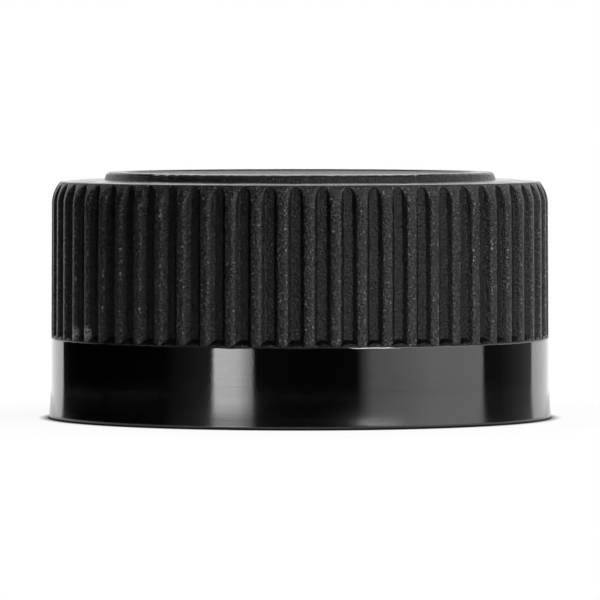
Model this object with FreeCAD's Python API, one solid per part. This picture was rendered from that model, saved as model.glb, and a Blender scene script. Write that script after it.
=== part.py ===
import FreeCAD, Part
import math
import os

# A push-down-and-turn closure in millimetres.
# Z is the cap's axis, and z = 0 is the plane that the shell's rim stands on.

# Outer shell: the cover that the hand turns
top_wall = 1.2              # under the flat top
skirt_wall = 0.77           # between the bore and the groove floors
mouth_inset = 2.2           # the inner cap's mouth lies this far in from the rim
rim_flare = 0.15            # the rim stands out this far past the band
flare_height = 2.5
rim_chamfer = 0.25          # inner edge of the rim
edge_round = 0.12           # rim, top land and plateau edges
inner_corner_round = 0.6    # between skirt and top, inside

# Grip ribs, and the grooves between them
band_height = 6.08          # polished band, up to the rib feet
rib_count = 60
rib_draft_deg = 0.3         # the tips lean in towards the top
groove_depth = 0.68
groove_floor_width = 0.59
groove_flank_deg = 30.0     # each flank, off the radial direction
groove_foot_rise = 0.25     # the groove's foot climbs this much from skin to floor
groove_foot_crown = 0.19    # and stands this much higher in the middle than at the flanks

# Rounded shoulder above the ribs
shoulder_radius = 2.7
shoulder_rise = 1.95        # height of the curved part

# Raised plateau on the top
plateau_inset = 4.08        # from the skin to the plateau's foot
plateau_height = 0.62
plateau_side_deg = 20.0     # off vertical
plateau_rim_width = 1.2
recess_depth = 0.3          # inside the plateau's rim

# Inner cap: screws on a neck with a 33-400 finish
thread_root_radius = 16.3
thread_depth = 1.2
thread_pitch = 4.23
thread_turns = 1.25
thread_crest_width = 1.1
thread_root_width = 2.1
thread_start_height = 1.7   # middle of the thread's first end above the mouth
thread_run_out_radius = 8.0     # of the round cuts that fade the thread's ends
neck_depth = 10.1           # from the mouth up to the liner
inner_wall = 0.75           # outside the thread root
inner_panel = 1.2           # the inner cap's top
flange_step = 0.2           # the flange stands out this far past the wall
flange_height = 1.2
flange_slope_height = 0.3
inner_cap_chamfer = 0.5     # outer edge of its top

# Liner
liner_thickness = 1.0
liner_side_gap = 0.1

# How the shell is held on the inner cap
side_gap = 0.3              # between the flange and the skirt
seat_gap = 0.02             # between the flange and the bead below it
bead_grip = 0.35            # the bead reaches this far in under the flange
bead_nose_height = 0.3
bead_slope_height = 0.9

# Drive lugs, one ring under the shell's top and one on the inner cap
lug_count = 12
lug_height = 1.1
lug_gap = 0.2               # between the two rings when the shell is up
bottoming_gap = 0.1         # above each lug when the shell is pushed down
lug_play_deg = 2.0          # on each side of a lug when the rings mesh
lug_length = 2.6            # along the radius
lug_inset = 1.45            # from the inner cap's wall to the outer ends of the lugs

# Spring ring with sloping fingers, carried inside the shell's lugs
spring_side_gap = 0.3
spring_thickness = 0.6
spring_ring_width = 1.4
finger_count = 6
finger_width = 1.2
finger_sweep_deg = 38.0
finger_root_deg = 8.0
finger_join_deg = 1.0       # the root and the slope share this much
finger_inset = 0.3          # between the ring and the free part of a finger
tip_pad_deg = 3.0

# Heights that follow, from the rim up
bead_top = mouth_inset - seat_gap
liner_face = mouth_inset + neck_depth
liner_top = liner_face + liner_thickness
inner_cap_top = liner_top + inner_panel
shell_underside = inner_cap_top + 2 * lug_height + lug_gap
land_height = shell_underside + top_wall
plateau_top = land_height + plateau_height
shoulder_start = land_height - shoulder_rise
push_travel = lug_gap + lug_height - bottoming_gap

# Radii that follow, from the thread out
thread_crest_radius = thread_root_radius - thread_depth
inner_cap_radius = thread_root_radius + inner_wall
flange_radius = inner_cap_radius + flange_step
shell_bore = flange_radius + side_gap
groove_floor_radius = shell_bore + skirt_wall
skin_radius = groove_floor_radius + groove_depth
rib_top_radius = skin_radius - (shoulder_start - band_height) * math.tan(math.radians(rib_draft_deg))
plateau_radius = skin_radius - plateau_inset
plateau_top_radius = plateau_radius - plateau_height * math.tan(math.radians(plateau_side_deg))
recess_radius = plateau_top_radius - plateau_rim_width
lug_outer_radius = inner_cap_radius - lug_inset
lug_inner_radius = lug_outer_radius - lug_length
lug_deg = 180.0 / lug_count - lug_play_deg
spring_outer_radius = lug_inner_radius - spring_side_gap
spring_inner_radius = spring_outer_radius - spring_ring_width
finger_outer_radius = spring_inner_radius - finger_inset

axis_foot = FreeCAD.Vector(0, 0, 0)
up = FreeCAD.Vector(0, 0, 1)


def at(radius, height):
    return FreeCAD.Vector(radius, 0, height)


def line(start, end):
    return Part.LineSegment(at(*start), at(*end)).toShape()


def arc(start, middle, end):
    return Part.Arc(at(*start), at(*middle), at(*end)).toShape()


def joined(points):
    """Straight edges from point to point."""
    return [line(a, b) for a, b in zip(points, points[1:])]


def turned(edges, sweep_deg=360.0):
    """The solid that a closed outline in the XZ plane sweeps about the axis."""
    return Part.Face(Part.Wire(edges)).revolve(axis_foot, up, sweep_deg)


def ring(inner_radius, outer_radius, low, high, sweep_deg=360.0):
    corners = [(inner_radius, low), (outer_radius, low), (outer_radius, high), (inner_radius, high)]
    return turned(joined(corners + corners[:1]), sweep_deg)


def around(piece, count, first_deg=0.0):
    """Copies of a piece, evenly spaced about the axis."""
    copies = []
    for number in range(count):
        copy = piece.copy()
        copy.rotate(axis_foot, up, first_deg + 360.0 * number / count)
        copies.append(copy)
    return copies


def rounded_rims(solid, radius, rims):
    """The solid with its round edges at these (radius, height) places rounded."""
    edges = []
    for edge in solid.Edges:
        curve = edge.Curve
        if curve.TypeId != "Part::GeomCircle" or abs(edge.Length - 2 * math.pi * curve.Radius) > 0.001:
            continue
        for rim_radius, height in rims:
            if abs(curve.Radius - rim_radius) < 0.001 and abs(curve.Center.z - height) < 0.001:
                edges.append(edge)
    return solid.makeFillet(radius, edges)


def helical(section, radius, pitch, turns):
    """The solid that a closed outline in the XZ plane sweeps up a helix."""
    path = Part.makeHelix(pitch, pitch * turns, radius)
    pipe = Part.BRepOffsetAPI.MakePipeShell(path)
    pipe.setFrenetMode(True)
    pipe.add(Part.Wire(section))
    pipe.build()
    pipe.makeSolid()
    return pipe.shape()


def shell_skin():
    """The shell's outside with no grooves, as a solid that reaches the axis."""
    rim_radius = skin_radius + rim_flare
    flare_curve = (flare_height ** 2 + rim_flare ** 2) / (2 * rim_flare)
    half_height = flare_height / 2
    flare_middle = skin_radius + flare_curve - math.sqrt(flare_curve ** 2 - half_height ** 2)
    shoulder_centre = rib_top_radius - shoulder_radius
    sweep = math.asin(shoulder_rise / shoulder_radius)
    land_radius = shoulder_centre + shoulder_radius * math.cos(sweep)
    shoulder_middle = (
        shoulder_centre + shoulder_radius * math.cos(sweep / 2),
        shoulder_start + shoulder_radius * math.sin(sweep / 2),
    )
    edges = [
        line((0, 0), (rim_radius, 0)),
        arc((rim_radius, 0), (flare_middle, half_height), (skin_radius, flare_height)),
    ]
    edges += joined(
        [
            (skin_radius, flare_height),
            (skin_radius, band_height),
            (rib_top_radius, shoulder_start),
        ]
    )
    edges.append(arc((rib_top_radius, shoulder_start), shoulder_middle, (land_radius, land_height)))
    edges += joined(
        [
            (land_radius, land_height),
            (plateau_radius, land_height),
            (plateau_top_radius, plateau_top),
            (recess_radius, plateau_top),
            (recess_radius, plateau_top - recess_depth),
            (0, plateau_top - recess_depth),
            (0, 0),
        ]
    )
    rims = [
        (rim_radius, 0),
        (land_radius, land_height),
        (plateau_top_radius, plateau_top),
        (recess_radius, plateau_top),
    ]
    return rounded_rims(turned(edges), edge_round, rims)


def groove_cutter():
    """One groove between two ribs: an upright channel whose foot is a sloping arch."""
    flank = math.tan(math.radians(groove_flank_deg))
    reach = skin_radius + groove_depth
    floor_half = groove_floor_width / 2
    mouth_half = floor_half + (reach - groove_floor_radius) * flank
    corners = [
        (groove_floor_radius, -floor_half),
        (reach, -mouth_half),
        (reach, mouth_half),
        (groove_floor_radius, floor_half),
    ]
    outline = Part.makePolygon([FreeCAD.Vector(x, y, 0) for x, y in corners + corners[:1]])
    channel = Part.Face(outline).extrude(up * land_height)

    # the foot's crest line runs out and down, from the floor to the skin
    skin_half = floor_half + groove_depth * flank
    crown_radius = (skin_half ** 2 + groove_foot_crown ** 2) / (2 * groove_foot_crown)
    crest_low = at(skin_radius, band_height + groove_foot_crown)
    crest_high = at(groove_floor_radius, band_height + groove_foot_crown + groove_foot_rise)
    along = (crest_low - crest_high).normalize()
    square_to_crest = FreeCAD.Vector(along.z, 0, -along.x)
    start = crest_high - along * groove_depth + square_to_crest * crown_radius
    foot = Part.makeCylinder(crown_radius, 4 * groove_depth, start, along)
    below = Part.makeBox(
        4 * groove_depth,
        2 * reach,
        band_height,
        FreeCAD.Vector(groove_floor_radius - groove_depth, -reach, 0),
    )
    return channel.cut(foot).cut(below)


def shell_hollow():
    """The space inside the shell, with the bead that snaps under the inner cap."""
    bead_radius = flange_radius - bead_grip
    bead_foot = bead_top - bead_nose_height - bead_slope_height
    points = [
        (0, 0),
        (shell_bore + rim_chamfer, 0),
        (shell_bore, rim_chamfer),
        (shell_bore, bead_foot),
        (bead_radius, bead_top - bead_nose_height),
        (bead_radius, bead_top),
        (shell_bore, bead_top),
        (shell_bore, shell_underside),
        (0, shell_underside),
        (0, 0),
    ]
    return rounded_rims(turned(joined(points)), inner_corner_round, [(shell_bore, shell_underside)])


def lugs(low, high, first_deg):
    """A ring of drive lugs, each centred on its own angle."""
    lug = ring(lug_inner_radius, lug_outer_radius, low, high, lug_deg)
    return around(lug, lug_count, first_deg - lug_deg / 2)


def make_outer_shell():
    skin = shell_skin().cut(around(groove_cutter(), rib_count, 180.0 / rib_count))
    body = skin.cut(shell_hollow())
    half_pitch = 180.0 / lug_count
    return body.fuse(lugs(shell_underside - lug_height, shell_underside, half_pitch))


def make_thread():
    """The thread's bead. Its crest is cut round, in two halves, so that it lies on the crest radius."""
    overlap = inner_wall / 2
    slope = (thread_root_width - thread_crest_width) / 2 / thread_depth
    outer_half = thread_root_width / 2 + slope * overlap
    inner_half = thread_crest_width / 2 - slope * overlap
    outer = thread_root_radius + overlap
    inner = thread_crest_radius - overlap
    corners = [(outer, -outer_half), (outer, outer_half), (inner, inner_half), (inner, -inner_half)]
    bead = helical(joined(corners + corners[:1]), thread_root_radius, thread_pitch, thread_turns)
    first_height = mouth_inset + thread_start_height
    bead.translate(up * first_height)
    rise = thread_pitch * thread_turns
    core_low = first_height - thread_pitch
    core_height = rise + 2 * thread_pitch
    core_foot = at(0, core_low)
    halves = [Part.makeCylinder(thread_crest_radius, core_height, core_foot, up, 180)]
    halves += [halves[0].rotated(axis_foot, up, 180)]
    bead = bead.cut(halves[0].fuse(halves[1]))

    # a round cut at each end, a little wider than the root, lets the thread fade out
    reach = thread_root_radius + overlap - thread_run_out_radius
    for end_deg, height in ((0.0, first_height), (360.0 * thread_turns, first_height + rise)):
        foot = at(reach, height - thread_pitch / 2)
        cut = Part.makeCylinder(thread_run_out_radius, thread_pitch, foot, up)
        bead = bead.cut(cut.rotated(axis_foot, up, end_deg))
    return bead


def make_inner_cap():
    wall_start = mouth_inset + flange_height
    points = [
        (thread_root_radius, mouth_inset),
        (flange_radius, mouth_inset),
        (flange_radius, wall_start),
        (inner_cap_radius, wall_start + flange_slope_height),
        (inner_cap_radius, inner_cap_top - inner_cap_chamfer),
        (inner_cap_radius - inner_cap_chamfer, inner_cap_top),
        (0, inner_cap_top),
        (0, liner_top),
        (thread_root_radius, liner_top),
        (thread_root_radius, mouth_inset),
    ]
    body = turned(joined(points))
    return body.fuse([make_thread()] + lugs(inner_cap_top, inner_cap_top + lug_height, 0.0))


def make_liner():
    return ring(0, thread_root_radius - liner_side_gap, liner_face, liner_top)


def make_spring():
    """The ring lies under the shell's top, and its fingers slope down to the inner cap."""
    ring_low = shell_underside - spring_thickness
    body = ring(spring_inner_radius, spring_outer_radius, ring_low, shell_underside)
    inner = finger_outer_radius - finger_width
    drop = ring_low - inner_cap_top
    turns = finger_sweep_deg / 360.0
    corners = [
        (inner, ring_low),
        (finger_outer_radius, ring_low),
        (finger_outer_radius, shell_underside),
        (inner, shell_underside),
    ]
    slope = helical(joined(corners + corners[:1]), finger_outer_radius, drop / turns, turns)
    slope.translate(up * -drop)
    tip = ring(inner, finger_outer_radius, inner_cap_top, inner_cap_top + spring_thickness, tip_pad_deg)
    tip.rotate(axis_foot, up, -tip_pad_deg)
    root = ring(inner, spring_inner_radius + finger_inset, ring_low, shell_underside, finger_root_deg)
    root.rotate(axis_foot, up, finger_sweep_deg - finger_join_deg)
    finger = slope.fuse([tip, root])
    return body.fuse(around(finger, finger_count))


def one_solid(shape):
    """The single solid that a join leaves, out of its wrapping."""
    return shape.Solids[0] if len(shape.Solids) == 1 else shape


pieces = {
    "outer_shell": make_outer_shell(),
    "inner_cap": make_inner_cap(),
    "liner": make_liner(),
    "spring": make_spring(),
}
os.makedirs("parts", exist_ok=True)
for name, shape in pieces.items():
    shape = one_solid(shape)
    shape.exportStep("parts/" + name + ".step")
    print(name, shape.ShapeType, shape.isValid(), round(shape.Volume, 1), "mm3")
print("push travel", round(push_travel, 3), "mm")
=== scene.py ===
import math

import bpy
import numpy as np
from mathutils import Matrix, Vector


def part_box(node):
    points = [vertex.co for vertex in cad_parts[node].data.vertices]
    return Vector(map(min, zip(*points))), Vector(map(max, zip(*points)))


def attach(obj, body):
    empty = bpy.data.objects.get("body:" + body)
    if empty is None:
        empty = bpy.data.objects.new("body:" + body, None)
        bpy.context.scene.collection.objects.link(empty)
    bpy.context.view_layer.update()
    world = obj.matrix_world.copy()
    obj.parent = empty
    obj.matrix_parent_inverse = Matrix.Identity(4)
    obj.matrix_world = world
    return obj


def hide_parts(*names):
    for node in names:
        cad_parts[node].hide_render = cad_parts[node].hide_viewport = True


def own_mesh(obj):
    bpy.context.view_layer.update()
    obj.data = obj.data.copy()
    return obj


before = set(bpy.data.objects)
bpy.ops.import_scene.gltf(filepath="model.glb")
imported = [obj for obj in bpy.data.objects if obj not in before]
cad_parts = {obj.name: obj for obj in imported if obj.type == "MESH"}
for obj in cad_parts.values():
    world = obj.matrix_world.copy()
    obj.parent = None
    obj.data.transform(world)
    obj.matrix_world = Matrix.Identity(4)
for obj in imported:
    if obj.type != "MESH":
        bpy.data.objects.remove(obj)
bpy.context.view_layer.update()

mm = 0.001

# The shell's sizes, in millimetres, as its solid has them
skin_radius = 19.0
rim_flare = 0.15
flare_height = 2.5
rim_chamfer = 0.25
edge_round = 0.12
band_height = 6.08
rib_count = 60
rib_draft = math.tan(math.radians(0.3))
groove_floor_radius = 18.32
groove_floor_half = 0.295
groove_flank = math.tan(math.radians(30.0))
groove_foot_rise = 0.25
groove_foot_crown = 0.19
shoulder_radius = 2.7
shoulder_rise = 1.95
land_height = 18.1
plateau_inset = 4.08
plateau_side = math.tan(math.radians(20.0))
plateau_rim_width = 1.2
recess_depth = 0.3
plateau_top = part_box("outer_shell")[1].z / mm

# The shell's inside
shell_bore = 17.55
bead_radius = 16.9
bead_top = 2.18
bead_nose_height = 0.3
bead_slope_height = 0.9
shell_underside = 16.9
inner_corner_round = 0.6
lug_count = 12
lug_height = 1.1
lug_inner_radius = 13.0
lug_outer_radius = 15.6
lug_deg = 13.0

# The spring ring and its fingers
spring_lift = 0.03          # the fingers' tips stay this clear of the inner cap's top
spring_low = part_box("spring")[0].z / mm + spring_lift
spring_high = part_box("spring")[1].z / mm
spring_thickness = 0.6
spring_outer_radius = 12.7
spring_inner_radius = 11.3
finger_count = 6
finger_outer_radius = 11.0
finger_inner_radius = 9.8
finger_sweep_deg = 38.0
finger_root_deg = 8.0
tip_pad_deg = 3.0

# Finishing sizes that only the eye needs
tip_round = 0.25            # along both edges of each rib's tip
floor_round = 0.1           # along both sides of each groove's floor
tip_fall = 0.06             # each tip's edges lie this much lower than its middle
floor_spread = 0.04         # each groove's floor is this much wider at either side
groove_lift = 0.17          # the grooves' floor lies this much higher up to lift_start,
lift_start = 14.0
lift_end = 17.0             # and as the solid's from this height on
run_out = 0.3               # a groove narrows to its end where it is shallower than this
foot_step = 0.06            # the ribs stand this much back from the band
land_fall = 0.13            # the land's outer edge lies this much lower than its middle
foot_line = 0.05            # plain strip between the band's edge and the grooves' arches
skin_gap = 0.01             # the widest and highest rims stay this much inside the solid's
lug_draft = 0.02            # the lugs' sides lean by this much
edge_waver = 0.012          # how unevenly the band's edge runs
least_climb = 0.06          # the height of a groove foot's slope where the groove is shallowest
step_end_deg = 30           # the ribs' step has faded out this far round the shoulder
plateau_edge_round = 0.22
plateau_dent = 0.02         # how deep the plateau's rim is dented
plateau_wear = 0.06         # and how much lower it lies where it is worn
plateau_worn_deg = (-50.0, 38.0)    # the worn stretch, off the camera's side
plateau_worn_end_deg = 1.5          # over which it ends
plateau_worn_reach = 0.6    # how far from the plateau's edge the dents and the wear reach
recess_flat_radius = 9.0    # inside this the recess is flat
scuffed_tips_deg = (-156.0, -150.0)     # ribs with a pale scuff near their foot
scuff_height = 6.75
scuff_radius = 0.7

# Points in a ring, and where the straight stretches have rings
band_points = 480
top_points = 720
recess_points = 120
inside_points = 360
spring_points = 180
flare_rings = (0.3, 0.7, 1.1, 1.5, 1.9, 2.2, flare_height)
band_ring = 4.2
rib_rings = (6.9, 9.0, 12.0, 15.3)
shoulder_rings_deg = (0, 5, 10, 15, 20, 24, 27, 30, 32.5, 34.5, 36, 37.2, 38.2, 39, 39.7, 40.6, 42.5)

# Camera and studio
camera_distance = 520.0
camera_height = 26.6
camera_pitch_deg = 1.946
camera_turn_deg = -2.1      # off the view along +Y
camera_lens = 409.6
sensor_width = 36.0
floor_reach = 50.0
floor_drop = 0.01           # the floor lies this much under the rim
panel_reach = 420.0         # from the axis to the panels round the cap
panel_foot = -200.0
panel_top = 400.0
glow_height = 60.0          # where the panels reach their upper strength
ceiling_reach = 450.0


def noise_wave(angles_deg, seed, waves, low=3, high=90):
    """A smooth random function of the angle, about one in size."""
    rng = np.random.default_rng(seed)
    total = np.zeros_like(angles_deg)
    for count in rng.integers(low, high, waves):
        total += np.sin(np.radians(angles_deg) * count + rng.uniform(0, 2 * math.pi))
    return total / math.sqrt(waves / 2)


def even_angles(count):
    return np.arange(count) * 360.0 / count


def make_piece(name, points, faces, materials, sharp_deg=0):
    """A mesh in the scene from points in millimetres, flat or smooth up to an angle."""
    mesh = bpy.data.meshes.new(name)
    mesh.from_pydata([Vector(p) * mm for p in points], [], faces)
    for material in materials:
        mesh.materials.append(material)
    if sharp_deg:
        mesh.shade_smooth()
        mesh.set_sharp_from_angle(angle=math.radians(sharp_deg))
    piece = bpy.data.objects.new(name, mesh)
    bpy.context.scene.collection.objects.link(piece)
    return piece


def make_disc(name, reach, height, material):
    turns = np.radians(even_angles(96))
    rim = [(reach * math.cos(turn), reach * math.sin(turn), height) for turn in turns]
    return make_piece(name, rim, [tuple(range(len(rim)))], [material])


def add_point_values(piece, name, values):
    """A number for each point of a mesh, which its material reads by name."""
    attribute = piece.data.attributes.new(name, "FLOAT", "POINT")
    attribute.data.foreach_set("value", values)


class Skin:
    """A closed surface of rings about the axis, each joined to the ring before it."""

    def __init__(self):
        self.points = []
        self.faces = []
        self.finishes = []
        self.wear_and_sheen = []
        self.last = None

    def ring(self, angles_deg, radii, heights, finish, wear_and_sheen=0.0):
        count = len(angles_deg)
        first = len(self.points)
        turn = np.radians(angles_deg)
        radii = np.broadcast_to(radii, count)
        heights = np.broadcast_to(heights, count)
        self.points += zip(radii * np.cos(turn), radii * np.sin(turn), heights)
        self.wear_and_sheen += list(np.broadcast_to(wear_and_sheen, count))
        ring = (first, np.asarray(angles_deg, float))
        if self.last is not None:
            self.join(self.last, ring, finish)
        self.last = ring
        return ring

    def join(self, low, high, finish):
        """Quads between rings of the same count, where the finish may differ from angle to angle,
        or triangles between rings that differ."""
        start, angles = low
        other, others = high
        count, total = len(angles), len(others)
        if count == total:
            finishes = np.broadcast_to(finish, count)
            for i in range(count):
                j = (i + 1) % count
                self.face((start + i, start + j, other + j, other + i), int(finishes[i]))
            return
        i = j = 0
        while i < count or j < total:
            next_low = angles[i + 1] if i + 1 < count else angles[0] + 360.0
            next_high = others[j + 1] if j + 1 < total else others[0] + 360.0
            a, b = start + i % count, other + j % total
            if j >= total or (i < count and next_low <= next_high):
                self.face((a, start + (i + 1) % count, b), finish)
                i += 1
            else:
                self.face((a, other + (j + 1) % total, b), finish)
                j += 1

    def cap(self, height, finish, up=True):
        """Closes the last ring to a point on the axis, or starts from one."""
        self.points.append((0.0, 0.0, height))
        self.wear_and_sheen.append(0.0)
        centre = len(self.points) - 1
        start, angles = self.last
        for i in range(len(angles)):
            j = (i + 1) % len(angles)
            pair = (start + i, start + j) if up else (start + j, start + i)
            self.face(pair + (centre,), finish)
        self.last = None

    def face(self, corners, finish):
        self.faces.append(corners)
        self.finishes.append(finish)

    def build(self, name, materials, sharp_deg):
        piece = make_piece(name, self.points, self.faces, materials, sharp_deg)
        piece.data.polygons.foreach_set("material_index", self.finishes)
        add_point_values(piece, "wear_and_sheen", self.wear_and_sheen)
        return piece


def rounded_profile(corners, steps=3):
    """Points (radius, height) of a profile whose (radius, height, rounding) corners are rounded off."""
    spots = [complex(radius, height) for radius, height, rounding in corners]
    points = [spots[0]]
    for before, spot, after, (_, _, rounding) in zip(spots, spots[1:], spots[2:], corners[1:]):
        if not rounding:
            points.append(spot)
            continue
        heading = (spot - before) / abs(spot - before)
        leaving = (after - spot) / abs(after - spot)
        turn = math.atan2((leaving / heading).imag, (leaving / heading).real)
        start = spot - heading * rounding * math.tan(abs(turn) / 2)
        inward = heading * 1j * math.copysign(1, turn)
        centre = start + inward * rounding
        for step in range(steps + 1):
            swing = turn * step / steps
            points.append(centre - inward * rounding * complex(math.cos(swing), math.sin(swing)))
    points.append(spots[-1])
    return [(p.real, p.imag) for p in points]


def groove_floor(height):
    return groove_floor_radius + np.interp(height, (lift_start, lift_end), (groove_lift, 0))


def groove_mouth(skin):
    """Half a groove's width where the skin has this radius."""
    return groove_floor_half + max(skin - groove_floor_radius, 0.0) * groove_flank


def rounded_corner(corner, coming, going, reach, shares):
    """Points along the curve that rounds a corner off between two headings."""
    return [corner + (going * t ** 2 - coming * (1 - t) ** 2) * reach for t in shares]


def rib_section(skin, floor):
    """One rib's pitch at a height where the skin and the groove's floor have these radii: angles off
    the groove's middle, in degrees, with their radii."""
    floor = min(floor, skin)
    narrowing = max(0.1, min(1.0, (skin - floor) / run_out)) ** 0.5
    mouth_half = groove_mouth(skin) * narrowing
    floor_half = min((groove_floor_half + floor_spread) * narrowing, mouth_half - 0.03)
    floor_corner = complex(floor, floor_half)
    fall = min(tip_fall, 0.2 * (skin - floor))
    edge = skin - fall
    tip_corner = complex(math.sqrt(max(edge ** 2 - mouth_half ** 2, 0)), mouth_half)
    flank = max(abs(tip_corner - floor_corner), 0.001)
    along = (tip_corner - floor_corner) / flank if flank > 0.01 else 1j
    bend = math.tan(math.atan2(along.real, along.imag) / 2)
    # the roundings take only a share of the flank, which gets short where a groove runs out
    foot = min(floor_round * bend, 0.3 * flank)
    lip = min(tip_round * bend, 0.5 * flank)
    half = [complex(floor, 0), complex(floor, floor_half / 2)]
    half += rounded_corner(floor_corner, 1j, along, foot, (0, 0.5, 1))
    half += [(floor_corner + tip_corner) / 2]
    half += rounded_corner(tip_corner, along, 1j, lip, (0, 0.25, 0.5, 0.75))
    angles = [math.degrees(math.atan2(p.imag, p.real)) for p in half]
    radii = [min(abs(p), skin) for p in half]
    mouth_deg = math.degrees(math.asin(mouth_half / skin))
    half_pitch = 180.0 / rib_count
    lip_deg = min(math.degrees(lip / skin), 0.7 * (half_pitch - mouth_deg))
    for angle in (mouth_deg + lip_deg, (mouth_deg + lip_deg + half_pitch) / 2, half_pitch):
        angles.append(angle)
        radii.append(skin - fall * ((half_pitch - angle) / (half_pitch - mouth_deg)) ** 2)
    least_gap_deg = 0.02
    for k in range(1, len(angles) - 1):
        angles[k] = max(angles[k], angles[k - 1] + least_gap_deg)
    last = len(angles) - 1
    order = list(range(last, 0, -1))
    offsets = [-angles[k] for k in order] + angles[:last]
    return np.array(offsets), np.array([radii[k] for k in order] + radii[:last])


def all_ribs(offsets, values):
    """A ring's angles and values from one rib's pitch."""
    values = np.broadcast_to(values, len(offsets))
    pitch = 360.0 / rib_count
    middles = pitch * (np.arange(rib_count) + 0.5)
    angles = (middles[:, None] + offsets[None, :]).ravel()
    return angles, np.tile(values, rib_count)


# The shell's finishes; FOOT and GROOVE are grained ones whose darker colour is painted shade at the
# grooves' feet and in the grooves
POLISHED, GRAINED, MOULDED, FOOT, SMOOTH, GROOVE = range(6)

# rubbed wear and painted edge highlight at rib_section's points, from the groove's middle over the
# rib's edge to the rib's middle
edge_wear_and_sheen = np.array([0, 0, 0, 0, 0, 0, 0.05, 0.3, 0.7, 1.0, 1.0, 0.4, 0.35])
lip_start = 6               # the first of these points that lies on the rib's edge
pitch_wear_and_sheen = np.concatenate([edge_wear_and_sheen[:0:-1], edge_wear_and_sheen[:-1]])
strips_off_groove = np.abs(np.arange(len(pitch_wear_and_sheen)) + 1.5 - len(edge_wear_and_sheen))
in_groove = strips_off_groove < lip_start
rib_wear_and_sheen = np.tile(pitch_wear_and_sheen, rib_count)
# the grooves' points take the GROOVE finish, whose darker colour is painted shade
rib_finish = np.tile(np.where(in_groove, GROOVE, GRAINED), rib_count)


def add_band(skin):
    """From the rim's inner edge, under and round it, up the polished band. Gives the first ring."""
    band_angles = even_angles(band_points)
    rim_radius = skin_radius + rim_flare - skin_gap
    # the last corner only says which way the rim's side goes on
    corners = [
        (shell_bore + rim_chamfer, 0, 0),
        (rim_radius, 0, edge_round),
        (rim_radius - 0.03, 0.35, 0),
    ]
    first = None
    for radius, height in rounded_profile(corners)[:-1]:
        ring = skin.ring(band_angles, radius, height, POLISHED)
        first = first or ring
    curve = (flare_height ** 2 + rim_flare ** 2) / (2 * rim_flare)
    for height in flare_rings:
        short = flare_height - height
        radius = skin_radius + curve - math.sqrt(curve ** 2 - short ** 2)
        skin.ring(band_angles, min(radius, rim_radius), height, POLISHED)
    skin.ring(band_angles, skin_radius, band_ring, POLISHED)
    waver = edge_waver * noise_wave(band_angles, seed=5, waves=24, low=20, high=120)
    # shares of the ribs' step back, and how far below the band's edge
    for back, below in ((0, 0.14), (0, 0.09), (0.15, 0.05), (0.45, 0.02), (1, 0)):
        skin.ring(band_angles, skin_radius - back * foot_step, band_height - below + waver, POLISHED)
    return first


def add_rib_feet(skin):
    """The arch at the foot of each groove, and its slope up to the groove's floor."""
    face_radius = skin_radius - foot_step
    floor = groove_floor(band_height)
    offsets, radii = rib_section(face_radius, floor)
    depth = face_radius - radii
    share = depth / (face_radius - floor)
    aside = face_radius * np.radians(offsets) / groove_mouth(face_radius)
    arch = groove_foot_crown * np.clip(1 - aside ** 2, 0, 1)
    climb = np.maximum(groove_foot_rise * share, least_climb)
    # the foot's slope takes the FOOT finish where the groove is deep, its darker colour painted shade
    finish = np.tile(np.where(share > 0.05, FOOT, GRAINED), rib_count)
    angles, heights = all_ribs(offsets, band_height + foot_line * 0.8)
    skin.ring(angles, face_radius, heights, GRAINED, 0.6)
    # shares of the groove's depth and of the slope's height, with the slope's edge rounded
    for inward, upward in ((0, -0.1), (0.02, 0.04), (0.08, 0.11), (0.5, 0.5), (0.93, 0.93), (1, 1.1)):
        angles, heights = all_ribs(offsets, band_height + foot_line + arch + climb * upward)
        ring_radii = np.tile(face_radius - depth * inward, rib_count)
        skin.ring(angles, ring_radii, heights, finish, rib_wear_and_sheen * (upward > 0.2))


def add_ribs(skin):
    """The straight ribs and the rounded shoulder that the grooves run out on. Gives the radius of
    the land's edge."""

    def rib_ring(radius, height):
        floor = groove_floor(height)
        angles, radii = all_ribs(*rib_section(radius, floor))
        deep = radius > floor
        skin.ring(angles, radii, height, rib_finish if deep else GRAINED, rib_wear_and_sheen if deep else 0.4)

    for height in rib_rings:
        rib_ring(skin_radius - foot_step - (height - band_height) * rib_draft, height)
    shoulder_start = land_height - shoulder_rise
    rib_top = skin_radius - (shoulder_start - band_height) * rib_draft
    centre = rib_top - shoulder_radius
    for swing_deg in shoulder_rings_deg:
        swing = math.radians(swing_deg)
        step = foot_step * max(0.0, 1 - swing_deg / step_end_deg)
        radius = centre + shoulder_radius * math.cos(swing) - step
        rib_ring(radius, shoulder_start + shoulder_radius * math.sin(swing))
    land_swing = math.asin((shoulder_rise - land_fall) / shoulder_radius)
    return centre + shoulder_radius * math.cos(land_swing)


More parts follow.
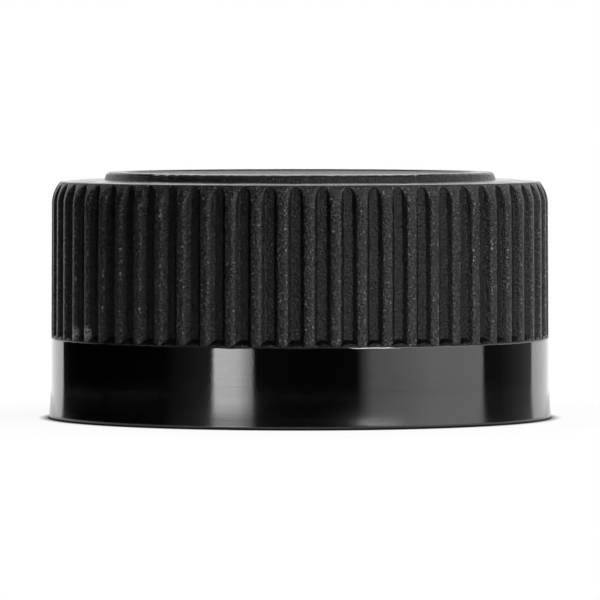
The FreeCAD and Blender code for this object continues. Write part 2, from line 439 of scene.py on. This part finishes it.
def add_top(skin, land_radius):
    """The flat land, and the raised plateau with its uneven rim and its recess."""
    plateau_foot = skin_radius - plateau_inset
    plateau_edge = plateau_foot - (plateau_top - land_height) * plateau_side
    recess = plateau_edge - plateau_rim_width
    floor = plateau_top - recess_depth
    edge_height = land_height - land_fall
    # the first corner only says which way the shoulder comes up to the land
    corners = [
        (land_radius + 0.06, edge_height - 0.06, 0),
        (land_radius, edge_height, 0.04),
        (land_radius - 0.3, edge_height + 0.04, 0),
        (land_radius - 0.8, edge_height + 0.075, 0),
        (land_radius - 1.4, land_height, 0),
        (plateau_foot, land_height, 0.08),
        (plateau_edge, plateau_top, plateau_edge_round),
        (recess, plateau_top, edge_round),
        (recess - 0.12, plateau_top - 0.1, 0.1),
        (recess_flat_radius, floor, 0),
    ]
    points = rounded_profile(corners)[1:]
    wall_middle = (land_height + plateau_top) / 2
    wall_end = next(row for row, (_, height) in enumerate(points) if height > wall_middle)
    wall = (wall_end - 1, wall_end)
    top_angles = even_angles(top_points)
    turn = (top_angles - camera_turn_deg + 90 + 180) % 360 - 180
    worn_from, worn_to = plateau_worn_deg
    inwards = np.minimum(turn - worn_from, worn_to - turn)
    worn = np.clip(inwards / plateau_worn_end_deg, 0, 1)
    ragged = noise_wave(top_angles, seed=11, waves=40, low=8, high=150)
    dent = np.maximum(plateau_dent * (1 + ragged) * (0.3 + 0.7 * worn), 0)
    for row, (radius, height) in enumerate(points):
        near = 0.0
        if height > land_height + 0.3:
            near = max(0.0, 1 - abs(radius - plateau_edge) / plateau_worn_reach)
        sunk = skin_gap * (height > floor) + near * (plateau_wear * worn + dent)
        finish = GRAINED if row in wall or radius < recess - 0.5 else SMOOTH
        skin.ring(top_angles, radius - 0.5 * near * dent, height - sunk, finish)
    for radius in (recess_flat_radius / 2, 1.0):
        skin.ring(even_angles(recess_points), radius, floor, GRAINED)
    skin.cap(floor, GRAINED)


def lug_angles():
    """Even angles, with a close pair at each side of every drive lug."""
    pitch = 360.0 / lug_count
    half = lug_deg / 2
    close = 0.05
    clear = 3.0
    within = np.linspace(-half, half, 5)
    between = np.linspace(half + clear, pitch - half - clear, 5)
    offsets = np.concatenate([within, [half + close], between, [pitch - half - close]])
    middles = pitch * (np.arange(lug_count) + 0.5)
    angles = (middles[:, None] + offsets[None, :]).ravel() % 360.0
    order = np.argsort(angles)
    on_lug = np.tile(np.abs(offsets) <= half, lug_count)
    return angles[order], on_lug[order]


def add_inside(skin, first):
    """Down from the middle of the underside, past the drive lugs, to the snap bead and the rim."""
    angles, on_lug = lug_angles()
    tips = np.where(on_lug, shell_underside - lug_height, shell_underside)
    ease = lug_draft * (1 - on_lug)
    skin.ring(angles, 6.0, shell_underside, MOULDED)
    start = skin.last
    skin.ring(angles, lug_inner_radius - ease, shell_underside, MOULDED)
    skin.ring(angles, lug_inner_radius + ease, tips, MOULDED)
    skin.ring(angles, lug_outer_radius - ease, tips, MOULDED)
    skin.ring(angles, lug_outer_radius + ease, shell_underside, MOULDED)
    bead_foot = bead_top - bead_nose_height - bead_slope_height
    corners = [
        (lug_outer_radius + 0.3, shell_underside, 0),
        (shell_bore, shell_underside, inner_corner_round),
        (shell_bore, bead_top, 0.05),
        (bead_radius, bead_top, 0.08),
        (bead_radius, bead_top - bead_nose_height, 0.1),
        (shell_bore, bead_foot, 0.1),
        (shell_bore, rim_chamfer, 0),
        (shell_bore + rim_chamfer, 0, 0),
    ]
    inside_angles = even_angles(inside_points)
    for radius, height in rounded_profile(corners)[:-1]:
        skin.ring(inside_angles, radius, height, MOULDED)
    skin.join(skin.last, first, MOULDED)
    skin.last = start
    skin.cap(shell_underside, MOULDED, up=False)


def make_shell():
    skin = Skin()
    first = add_band(skin)
    add_rib_feet(skin)
    land_radius = add_ribs(skin)
    add_top(skin, land_radius)
    add_inside(skin, first)
    # in the order of the finishes' numbers
    materials = [
        polished_plastic(),
        grained_plastic("grained_black_plastic", grain_depth=0.15, specular=0.28, painted_shade_factor=1.0),
        moulded_plastic("moulded_black_plastic"),
        # the grooves' feet, darkened as painted shade
        grained_plastic("foot_shaded_black_plastic", grain_depth=0.04, specular=0.08, painted_shade_factor=0.5),
        smooth_plastic(),
        # the grooves, darkened as painted shade
        grained_plastic("groove_shaded_black_plastic", grain_depth=0.13, specular=0.22, painted_shade_factor=0.8),
    ]
    shell = skin.build("outer_shell_skin", materials, sharp_deg=35)
    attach(shell, "outer_shell")
    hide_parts("outer_shell")


def bevelled_section(inner, outer, low, high, bevel=0.08):
    """A ring's rectangular section between two radii and two heights, with bevelled corners."""
    return [
        (inner + bevel, low),
        (outer - bevel, low),
        (outer, low + bevel),
        (outer, high - bevel),
        (outer - bevel, high),
        (inner + bevel, high),
        (inner, high - bevel),
        (inner, low + bevel),
    ]


def make_spring():
    """The ring under the shell's top, with fingers that slope down to the inner cap."""
    points = []
    faces = []

    def sweep(stations, closed):
        """Faces along sections given as (angle in degrees, section)."""
        first = len(points)
        sides = len(stations[0][1])
        for angle, outline in stations:
            turn = math.radians(angle)
            for radius, height in outline:
                points.append((radius * math.cos(turn), radius * math.sin(turn), height))
        count = len(stations)
        for i in range(count if closed else count - 1):
            a, b = first + i * sides, first + (i + 1) % count * sides
            for k in range(sides):
                m = (k + 1) % sides
                faces.append((a + k, b + k, b + m, a + m))
        if not closed:
            faces.append(tuple(range(first, first + sides)))
            faces.append(tuple(reversed(range(first + (count - 1) * sides, first + count * sides))))

    ring_low = spring_high - spring_thickness
    ring = bevelled_section(spring_inner_radius, spring_outer_radius, ring_low, spring_high)
    sweep([(angle, ring) for angle in even_angles(spring_points)], True)
    drop = ring_low - spring_low
    steps = 16
    slope = [(-tip_pad_deg, 0.0)]
    slope += [(finger_sweep_deg * k / steps, k / steps) for k in range(steps + 1)]
    # how far past the slope's end each section is, where the finger widens into the ring
    root_outer = spring_inner_radius + 0.3
    root = [(0.5, finger_outer_radius), (1.5, root_outer), (finger_root_deg, root_outer)]
    for number in range(finger_count):
        start = 360.0 * number / finger_count
        stations = []
        for angle, share in slope:
            low = spring_low + drop * share
            high = low + spring_thickness
            outline = bevelled_section(finger_inner_radius, finger_outer_radius, low, high)
            stations.append((start + angle, outline))
        for angle, outer in root:
            outline = bevelled_section(finger_inner_radius, outer, ring_low, spring_high)
            stations.append((start + finger_sweep_deg + angle, outline))
        sweep(stations, False)

    spring = make_piece("spring_ring", points, faces, [natural_plastic()], sharp_deg=30)
    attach(spring, "spring")
    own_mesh(spring)
    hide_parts("spring")


def grey(value):
    return (value, value, value, 1.0)


class Nodes:
    """A short way to add and link the nodes of a material or the world."""

    def __init__(self, owner, output="ShaderNodeOutputMaterial"):
        owner.use_nodes = True
        self.owner = owner
        self.tree = owner.node_tree
        self.tree.nodes.clear()
        self.output = self.add(output)

    def add(self, kind, inputs=None, **settings):
        node = self.tree.nodes.new(kind)
        for key, value in settings.items():
            setattr(node, key, value)
        for key, value in (inputs or {}).items():
            if isinstance(value, bpy.types.NodeSocket):
                self.tree.links.new(value, node.inputs[key])
            else:
                node.inputs[key].default_value = value
        return node

    def finish(self, shader):
        self.tree.links.new(shader.outputs[0], self.output.inputs["Surface"])
        return self.owner

    def place(self):
        return self.add("ShaderNodeTexCoord").outputs["Object"]

    def parts(self, place):
        return self.add("ShaderNodeSeparateXYZ", {0: place}).outputs

    def point_value(self, name):
        return self.add("ShaderNodeAttribute", attribute_name=name).outputs["Fac"]

    def rays(self, *kinds):
        """1 for rays of any of these kinds, 0 for others."""
        path = self.add("ShaderNodeLightPath").outputs
        found = path[kinds[0]]
        for kind in kinds[1:]:
            found = self.math("MAXIMUM", found, path[kind])
        return found

    def math(self, operation, *values):
        node = self.add("ShaderNodeMath", dict(enumerate(values)), operation=operation)
        return node.outputs[0]

    def distance(self, place, spot):
        """From a place in the material to a fixed spot, in metres as both are."""
        node = self.add("ShaderNodeVectorMath", {0: place, 1: spot}, operation="DISTANCE")
        return node.outputs["Value"]

    def noise(self, place, size, detail=2.0, roughness=0.5):
        """A noise whose coarsest grains are about size millimetres apart."""
        inputs = {"Vector": place, "Scale": 1 / (size * mm), "Detail": detail, "Roughness": roughness}
        return self.add("ShaderNodeTexNoise", inputs).outputs["Fac"]

    def span(self, value, low, high, to_low, to_high):
        """A value's range mapped to another, held at its ends."""
        inputs = {"Value": value, 1: low, 2: high, 3: to_low, 4: to_high}
        return self.add("ShaderNodeMapRange", inputs).outputs[0]

    def vary(self, noise, to_low, to_high):
        """The middle of a noise's range mapped to another range."""
        return self.span(noise, 0.3, 0.7, to_low, to_high)

    def blend(self, share, first, second):
        return self.add("ShaderNodeMix", {0: share, 6: first, 7: second}, data_type="RGBA").outputs[2]

    def bump(self, height, depth, normal=None):
        """A bump that is depth millimetres deep, over another bump where one is given."""
        inputs = {"Height": height, "Distance": depth * mm}
        if normal is not None:
            inputs["Normal"] = normal
        return self.add("ShaderNodeBump", inputs).outputs[0]

    def plastic(self, color, roughness, normal, specular=0.5):
        inputs = {"Base Color": color, "Roughness": roughness, "Normal": normal}
        inputs.update({"IOR": 1.49, "Specular IOR Level": specular})
        return self.finish(self.add("ShaderNodeBsdfPrincipled", inputs))

    def glow(self, strength):
        return self.add("ShaderNodeEmission", {"Color": grey(1.0), "Strength": strength})


def material_nodes(name):
    return Nodes(bpy.data.materials.new(name))


def grained_plastic(name, grain_depth, specular, painted_shade_factor):
    """Spark-eroded black polypropylene: fine grain, with pale edges that are partly rubbed and partly
    a painted highlight, specks and scuffs. A shade factor under one darkens the colour as painted
    shade.
    """
    n = material_nodes(name)
    place = n.place()
    grain = n.noise(place, size=0.17, roughness=0.6)
    coarse = n.noise(place, size=0.9)
    specks = n.noise(place, size=0.17, detail=0.0)
    wear_and_sheen = n.point_value("wear_and_sheen")
    speck = n.math("MULTIPLY", n.span(specks, 0.7, 0.8, 0.0, 1.0), n.span(wear_and_sheen, 0.0, 0.9, 0.0, 1.0))
    # the pale edges are partly rubbing and partly a painted highlight
    rubbed_and_sheen = n.math("MULTIPLY", wear_and_sheen, n.span(grain, 0.45, 0.7, 0.05, 1.0))
    # a factor under one darkens this colour as painted shade, for the grooves and their feet
    color = n.blend(n.span(grain, 0.4, 0.65, 0.0, 1.0), grey(0.001 * painted_shade_factor), grey(0.01 * painted_shade_factor))
    color = n.blend(rubbed_and_sheen, color, grey(0.06))
    color = n.blend(speck, color, grey(0.16))
    for turn in np.radians(scuffed_tips_deg):
        spot = (skin_radius * mm * math.cos(turn), skin_radius * mm * math.sin(turn), scuff_height * mm)
        patch = n.span(n.distance(place, spot), scuff_radius / 2 * mm, scuff_radius * mm, 1.0, 0.0)
        patch = n.math("MULTIPLY", patch, n.span(grain, 0.4, 0.6, 0.1, 1.0))
        color = n.blend(patch, color, grey(0.4))
    roughness = n.vary(coarse, 0.27, 0.33)
    normal = n.bump(grain, grain_depth, n.bump(coarse, 0.012))
    return n.plastic(color, roughness, normal, specular)


def smooth_plastic():
    """The flat land and the plateau's rim: nearly smooth, with faint grain."""
    n = material_nodes("smooth_black_plastic")
    place = n.place()
    grain = n.noise(place, size=0.2)
    coarse = n.noise(place, size=1.6, detail=3.0)
    color = n.blend(n.vary(coarse, 0.0, 1.0), grey(0.004), grey(0.008))
    return n.plastic(color, n.vary(coarse, 0.14, 0.26), n.bump(grain, 0.003))


def polished_plastic():
    """The lower band: glossy, with faint streaks round it, and duller towards the rim."""
    n = material_nodes("polished_black_plastic")
    place = n.place()
    parts = n.parts(place)
    around = n.math("MULTIPLY", n.math("ARCTAN2", parts["Y"], parts["X"]), skin_radius * mm)
    # squeezed round the band, so that the noise makes long streaks
    streak_place = {"X": n.math("MULTIPLY", around, 0.06), "Y": parts["Z"]}
    wrapped = n.add("ShaderNodeCombineXYZ", streak_place).outputs[0]
    streaks = n.noise(wrapped, size=0.35, detail=3.0, roughness=0.6)
    cloud = n.noise(place, size=2.5, detail=3.0)
    grain = n.noise(place, size=0.12)
    dull = n.span(parts["Z"], 4.5 * mm, 0.5 * mm, 0.0, 0.08)
    dull = n.math("MULTIPLY", dull, n.vary(grain, 0.7, 1.3))
    roughness = n.math("ADD", n.vary(cloud, 0.03, 0.07), dull)
    normal = n.bump(grain, 0.0016, n.bump(streaks, 0.0025))
    color = n.blend(n.vary(cloud, 0.0, 1.0), grey(0.0006), grey(0.001))
    return n.plastic(color, roughness, normal, specular=1.0)


def moulded_plastic(name):
    """Plain moulded black plastic, for the inside and the inner cap."""
    n = material_nodes(name)
    place = n.place()
    flow = n.noise(place, size=4.0, detail=3.0)
    grain = n.noise(place, size=0.25)
    color = n.blend(n.vary(flow, 0.0, 1.0), grey(0.01), grey(0.016))
    return n.plastic(color, n.vary(flow, 0.28, 0.38), n.bump(grain, 0.004))


def liner_foam():
    """Off-white foamed sheet with a smooth skin and fine pores."""
    n = material_nodes("liner_foam")
    place = n.place()
    cell_size = 0.22 * mm
    cells = n.add("ShaderNodeTexVoronoi", {"Vector": place, "Scale": 1 / cell_size}).outputs["Distance"]
    cloud = n.noise(place, size=3.0, detail=4.0)
    color = n.blend(n.vary(cloud, 0.0, 1.0), (0.70, 0.69, 0.64, 1), (0.80, 0.79, 0.75, 1))
    return n.plastic(color, n.vary(cloud, 0.5, 0.62), n.bump(cells, 0.012))


def natural_plastic():
    """Unpigmented polypropylene of the spring ring."""
    n = material_nodes("natural_plastic")
    place = n.place()
    cloud = n.noise(place, size=2.0, detail=3.0)
    grain = n.noise(place, size=0.3)
    color = n.blend(n.vary(cloud, 0.0, 1.0), (0.66, 0.66, 0.63, 1), (0.74, 0.74, 0.72, 1))
    return n.plastic(color, n.vary(cloud, 0.32, 0.42), n.bump(grain, 0.004))


def make_floor():
    """A round pale table top. Seen straight it turns to plain white away from the cap and keeps the
    cap's shadow near it, with a painted shadow as a dark ring under the rim. Mirrored in the cap, it
    is dim where it lies in front and white behind."""
    n = material_nodes("pale_floor")
    place = n.place()
    away = n.distance(place, (0.0, 0.0, 0.0))
    ring_start = 19.1 * mm
    behind = n.span(n.parts(place)["Y"], -12 * mm, 4 * mm, 0.15, 0.9)
    mirrored = n.math("MULTIPLY", n.rays("Is Glossy Ray", "Is Transmission Ray"), behind)
    seen = n.math("MAXIMUM", n.rays("Is Camera Ray"), mirrored)
    near = n.span(away, ring_start, 20.0 * mm, 0.0, 1.0)
    far = n.span(away, 22 * mm, 34 * mm, 0.93, 1.0)
    share = n.math("MULTIPLY", seen, n.math("MULTIPLY", near, far))
    # painted shadow: the floor's colour turns dark grey under the rim
    pale = n.blend(n.span(away, ring_start, 20.3 * mm, 0.0, 1.0), grey(0.1), grey(0.9))
    diffuse = n.add("ShaderNodeBsdfDiffuse", {"Color": pale}).outputs[0]
    white = n.glow(1.0).outputs[0]
    material = n.finish(n.add("ShaderNodeMixShader", {0: share, 1: diffuse, 2: white}))
    make_disc("floor", floor_reach, -floor_drop, material)


def make_world():
    """White where it is seen straight, mirrored or through glass, and dimmer as light."""
    world = bpy.data.worlds.new("white_room")
    bpy.context.scene.world = world
    n = Nodes(world, "ShaderNodeOutputWorld")
    seen = n.rays("Is Camera Ray", "Is Glossy Ray", "Is Transmission Ray")
    level = n.span(seen, 0.0, 1.0, 0.2, 1.0)
    n.finish(n.add("ShaderNodeBackground", {"Color": grey(1.0), "Strength": level}))


def make_panel(name, from_deg, to_deg, levels, upper, high_level):
    """An upright curved panel round the cap, between two angles off the camera's side, seen only by
    light and reflections. levels are (share of its width, strength) at the height of the cap's foot.
    From there up to glow_height the strength grows or falls to upper times that, above glow_height
    it is high_level, and under the table's level it is nearly dark."""
    count = 48
    rows = (panel_foot, glow_height, panel_top)
    points = []
    across = []
    for k in range(count + 1):
        turn = math.radians(camera_turn_deg - 90 + from_deg + (to_deg - from_deg) * k / count)
        for height in rows:
            points.append((panel_reach * math.cos(turn), panel_reach * math.sin(turn), height))
            across.append(k / count)
    faces = []
    for k in range(count):
        for row in range(len(rows) - 1):
            a = len(rows) * k + row
            faces.append((a, a + 1, a + 1 + len(rows), a + len(rows)))

    n = material_nodes(name)
    ramp = n.add("ShaderNodeFloatCurve", {"Value": n.point_value("across")})
    curve = ramp.mapping.curves[0]
    top = max(level for _, level in levels)
    for spot, (share, level) in enumerate(levels):
        if spot < 2:
            curve.points[spot].location = (share, level / top)
        else:
            curve.points.new(share, level / top)
    for point in curve.points:
        point.handle_type = "VECTOR"
    ramp.mapping.update()
    height = n.parts(n.place())["Z"]
    rise = n.span(height, 0.0, glow_height * mm, top, top * upper)
    table = n.span(height, -30 * mm, -20 * mm, 0.04, 1.0)
    low_strength = n.math("MULTIPLY", n.math("MULTIPLY", ramp.outputs[0], rise), table)
    is_high = n.math("GREATER_THAN", height, glow_height * mm)
    low_part = n.math("MULTIPLY", n.math("SUBTRACT", 1.0, is_high), low_strength)
    strength = n.math("ADD", low_part, n.math("MULTIPLY", is_high, high_level))

    panel = make_piece(name, points, faces, [n.finish(n.glow(strength))])
    add_point_values(panel, "across", across)
    panel.visible_camera = False


def make_ceiling(level):
    """A plain dim ceiling over the panels, seen only by light and reflections."""
    n = material_nodes("ceiling")
    ceiling = make_disc("ceiling", ceiling_reach, panel_top, n.finish(n.glow(level)))
    ceiling.visible_camera = False


def make_top_softbox(level):
    """A square lamp over the cap and a little behind it, aimed at the cap's middle."""
    side = 320
    place = Vector((0, 60, 390))
    middle = Vector((0, 0, 9))
    light = bpy.data.lights.new("top_softbox", "AREA")
    light.shape = "SQUARE"
    light.size = side * mm
    light.energy = level * math.pi * side * side * mm * mm
    lamp = bpy.data.objects.new("top_softbox", light)
    bpy.context.scene.collection.objects.link(lamp)
    lamp.location = place * mm
    lamp.rotation_mode = "QUATERNION"
    lamp.rotation_quaternion = (middle - place).to_track_quat("-Z", "Y")
    lamp.visible_camera = False


def make_lights():
    """Panels all round the cap, at angles to the right of the camera as seen from the cap."""
    left_shade = [(0, 0.03), (0.08, 0.006), (0.2, 0.002), (0.75, 0.005), (1, 0.125)]
    make_panel("left_dark", -138.6, -39.2, left_shade, 2.0, 0.03)
    make_panel("left_softbox", -39.1, -20.9, [(0, 5.5), (0.6, 5.0), (1, 1.8)], 0.35, 0.1)
    make_panel("front_dark", -20.8, 26, [(0, 0.02), (0.5, 0.003), (1, 0.005)], 2.0, 0.15)
    make_panel("key_softbox", 26, 45, [(0, 0.05), (0.34, 0.9), (1, 1.1)], 1.0, 12.0)
    make_panel("right_softbox", 45, 91, [(0, 1.1), (0.4, 1.4), (1, 1.3)], 1.0, 2.0)
    make_panel("right_dark", 91.1, 132, [(0, 0.03), (0.3, 0.04), (1, 0.2)], 2.0, 0.9)
    make_panel("rear_white", 132.1, 221.3, [(0, 1.45), (1, 1.45)], 1.0, 1.0)
    make_ceiling(0.3)
    make_top_softbox(0.3)


def make_camera():
    data = bpy.data.cameras.new("camera")
    data.sensor_width = sensor_width
    data.lens = camera_lens
    data.clip_start = 0.01
    data.clip_end = 10.0
    camera = bpy.data.objects.new("camera", data)
    bpy.context.scene.collection.objects.link(camera)
    turn = math.radians(camera_turn_deg - 90)
    back = Vector((math.cos(turn), math.sin(turn), 0))
    camera.location = (back * camera_distance + Vector((0, 0, camera_height))) * mm
    camera.rotation_euler = (math.radians(90 - camera_pitch_deg), 0, math.radians(camera_turn_deg))
    bpy.context.scene.camera = camera


make_shell()
make_spring()
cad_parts["inner_cap"].material_slots[0].material = moulded_plastic("inner_cap_plastic")
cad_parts["liner"].material_slots[0].material = liner_foam()
make_floor()
make_world()
make_lights()
make_camera()
bpy.context.scene.view_settings.view_transform = "Standard"
